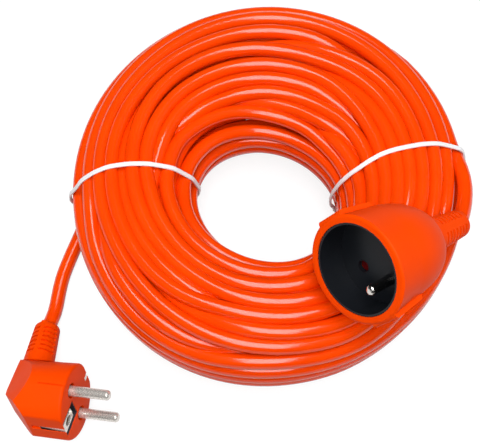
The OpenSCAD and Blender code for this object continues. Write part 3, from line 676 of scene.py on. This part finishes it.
# The strip's profile: two round ridges with a thinner web between them
ridge = tie_t / 2
ridge_off = tie_w / 2 - ridge
half_profile = [
    (ridge_off + ridge * math.cos(a), ridge * math.sin(a))
    for a in np.radians([-130, -90, -55, -20, 20, 55, 90, 130])]
tie_profile = half_profile + [(-x, -y) for x, y in half_profile]
end_profile = [
    (end_wire_r * math.cos(a), end_wire_r * math.sin(a)) for a in np.radians(range(0, 360, 45))]

# bearing_at gives the tie's bearing for shares of the way round, as it was pulled aslant, and
# lead is where the free cord passes, as radius and height.
for name, node, bearing_at, lead in (
        ("left_tie", "tie_left",
         [(0, 180), (10, 181), (16, 178), (20, 176), (30, 174), (37, 172), (44, 171), (50, 167),
          (60, 165), (75, 172), (100, 180)], (91.0, 9.2)),
        ("right_tie", "tie_right",
         [(0, 7.5), (4, 8), (9, 10), (16, 12.5), (32, 12.5), (37, 8), (44, 3), (50, 2), (60, 6),
          (75, 8), (100, 7.5)], (94.2, 49))):
    middle_bearing = bearing_at[3][1]
    first, last = min(b for _, b in bearing_at), max(b for _, b in bearing_at)
    near = (bearings - first + 4) % 360 < last - first + 8
    held = line[near] + np.stack(
        [ring_radius(middle_bearing) - ring_radius(bearings[near]), 0 * bearings[near]], -1)
    held = np.concatenate([held, [lead]])
    round_cord = np.radians(np.arange(0, 360, 15))
    around = (cord_d / 2 + tie_over) * np.stack([np.cos(round_cord), np.sin(round_cord)], -1)
    outline = wrapped_round((held[:, None] + around).reshape(-1, 2))
    outline = np.concatenate([outline, outline[:1]])
    along = np.concatenate([[0], np.cumsum(np.hypot(*np.diff(outline, axis=0).T))])
    steps = np.linspace(0, along[-1], loop_steps, endpoint=False)
    loop = np.stack([np.interp(steps, along, outline[:, k]) for k in (0, 1)], -1)
    for _ in range(2):
        loop = (np.roll(loop, 1, 0) + 2 * loop + np.roll(loop, -1, 0)) / 4
    centre = np.array([ring_radius(middle_bearing), ring_half_h])
    angle = np.degrees(np.arctan2(loop[:, 1] - centre[1], loop[:, 0] - centre[0])) % 360
    share_here = np.interp(angle, table_angles, table_shares)
    bearing = np.radians(np.interp(share_here, *zip(*bearing_at)))
    for _ in range(30):
        bearing = (np.roll(bearing, 1) + 2 * bearing + np.roll(bearing, -1)) / 4
    cos, sin = np.cos(bearing), np.sin(bearing)
    r = loop[:, 0] + (ring_radius(np.degrees(bearing)) - ring_radius(middle_bearing))
    path = np.stack([r * cos, r * sin, np.maximum(loop[:, 1], tie_low + ridge)], -1)
    tangents = np.roll(loop, -1, 0) - np.roll(loop, 1, 0)
    ups = np.stack([tangents[:, 1] * cos, tangents[:, 1] * sin, -tangents[:, 0]], -1)
    ups /= np.linalg.norm(ups, axis=1)[:, None]
    parts = [sweep(path + ring_middle, ups, tie_profile, closed=True)]
    # The two ends wind round each other, close over the strip.
    down = np.linspace(0, 1, end_steps)[:, None]
    spots = np.argmin(np.abs(angle - ends_at)) + end_reach * down[:, 0]
    beneath, out_of = (
        np.stack([np.interp(spots, np.arange(len(path)), some[:, k]) for k in range(3)], -1)
        for some in (path, ups))
    along_ring = np.cross(out_of, (0, 0, 1))
    along_ring /= np.linalg.norm(along_ring, axis=1)[:, None]
    away = end_apart * np.minimum(1, 6 * down)
    for phase in (0, math.pi):
        twist = phase + 2 * math.pi * end_turns * down
        end = (ring_middle + beneath + end_out * out_of
               + away * (np.cos(twist) * out_of + np.sin(twist) * along_ring))
        parts.append(sweep(end, out_of, end_profile, closed=False))
    tie = solid(name, parts)
    tie.data.shade_smooth()
    tie.data.materials.append(tie_white)
    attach(tie, "cord")
    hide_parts(node)

# ---- Plug's window skin, a thin sheet of the dark plastic that carries the pins, as painted shade
# It darkens the window's back and sides round the earth plate, painting the deep shade there. Its
# outer end is open, where the side contact comes through.
shade_skin_t, back_t, corner_gap = 0.35, 0.3, 0.05
window_x, window_low, window_high = -0.25, -15.2, -2.35
window_half_w, window_deep, tube_x = 4.95, -12.1, -8.2


def block(low, high):
    """The corners and faces of a box that is square to the plug."""
    corners = [tuple(on_plug(x, y, z) * MM) for x in (low[0], high[0])
               for y in (low[1], high[1]) for z in (low[2], high[2])]
    return corners, [
        (0, 1, 3, 2), (4, 6, 7, 5), (0, 4, 5, 1), (2, 3, 7, 6), (0, 2, 6, 4), (1, 5, 7, 3)]


side = window_half_w - shade_skin_t
clear = side - corner_gap
# A dark sheet over the window's walls: painted shade inside the window
window_shade_skin = solid("plug_window_shade_skin", [
    block((window_deep, window_low, side), (window_x, window_high, window_half_w)),
    block((window_deep, window_low, -window_half_w), (window_x, window_high, -side)),
    block((tube_x, window_high - back_t, -clear), (window_x, window_high, clear)),
    block((window_deep - corner_gap - back_t, window_low, -clear),
          (window_deep - corner_gap, window_high, clear))])
window_shade_skin.data.materials.append(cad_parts["plug_pin_carrier"].material_slots[0].material)
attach(window_shade_skin, "cord")
# The strip's bent end at the other edge of the face, let in almost flush
strip_end = solid("earth_strip_end", [block((-0.5, 12.4, -1.1), (0.04, 14.8, 1.1))])
strip_end.data.materials.append(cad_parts["plug_pin_line"].material_slots[0].material)
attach(strip_end, "cord")

# ---- Floor and light
# A white table top that runs far out. One long lamp overhead draws the bright line along each
# turn, and two wide soft ones fill the shadows from the sides. Straight looks and reflections
# see the table glow white, while light that bounces off it stays dim.
far = 4
floor_mesh = bpy.data.meshes.new("floor")
floor_mesh.from_pydata(
    [(-far, -far, 0), (far, -far, 0), (far, far, 0), (-far, far, 0)], [], [(0, 1, 2, 3)])
floor = bpy.data.objects.new("floor", floor_mesh)
bpy.context.scene.collection.objects.link(floor)
floor_finish, shader, start = new_finish("white_floor")
rays = start.node("ShaderNodeLightPath", out="Is Camera Ray")
glossy = start.node("ShaderNodeLightPath", out="Is Glossy Ray")
through = start.node("ShaderNodeLightPath", out="Is Transmission Ray")
seen = rays + glossy + through
lit = start.node("ShaderNodeBsdfDiffuse", {"Color": (0.2, 0.2, 0.2, 1)}, out="BSDF")
glow = start.node("ShaderNodeEmission", {"Color": (1, 1, 1, 1), "Strength": 0.85}, out="Emission")
white = start.node("ShaderNodeAddShader", {0: lit, 1: glow}, out="Shader")
both = start.node("ShaderNodeMixShader", {0: seen, 1: lit, 2: white}, out="Shader")
end = floor_finish.node_tree.nodes["Material Output"]
both.tree.links.new(both.out, end.inputs["Surface"])
floor_mesh.materials.append(floor_finish)
floor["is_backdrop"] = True

world = bpy.data.worlds.new("studio")
world.use_nodes = True
bpy.context.scene.world = world
world.node_tree.nodes["Background"].inputs["Color"].default_value = (1, 1, 1, 1)
world.node_tree.nodes["Background"].inputs["Strength"].default_value = 0.03
bpy.context.scene.view_settings.view_transform = "Standard"

lamps_aim = Vector((0, 0, 0.03))
for name, place, size, power, in_gloss in (
        ("overhead", (0.0, -0.19, 1.0), (0.38, 1.1), 12.5, True),
        ("left_soft", (-1.3, 0.0, 0.85), (1.4, 1.2), 8.0, False),
        ("right_soft", (1.3, 0.0, 0.85), (1.4, 1.2), 8.2, False)):
    lamp_data = bpy.data.lights.new(name, "AREA")
    lamp_data.shape = "RECTANGLE"
    lamp_data.size, lamp_data.size_y = size
    lamp_data.energy = power
    lamp = bpy.data.objects.new(name, lamp_data)
    lamp.location = place
    towards = lamps_aim - lamp.location
    lamp.rotation_euler = towards.to_track_quat("-Z", "Y").to_euler()
    lamp.visible_glossy = in_gloss
    bpy.context.scene.collection.objects.link(lamp)

# ---- Bounds of the shown objects, leaving out the floor
low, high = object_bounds()
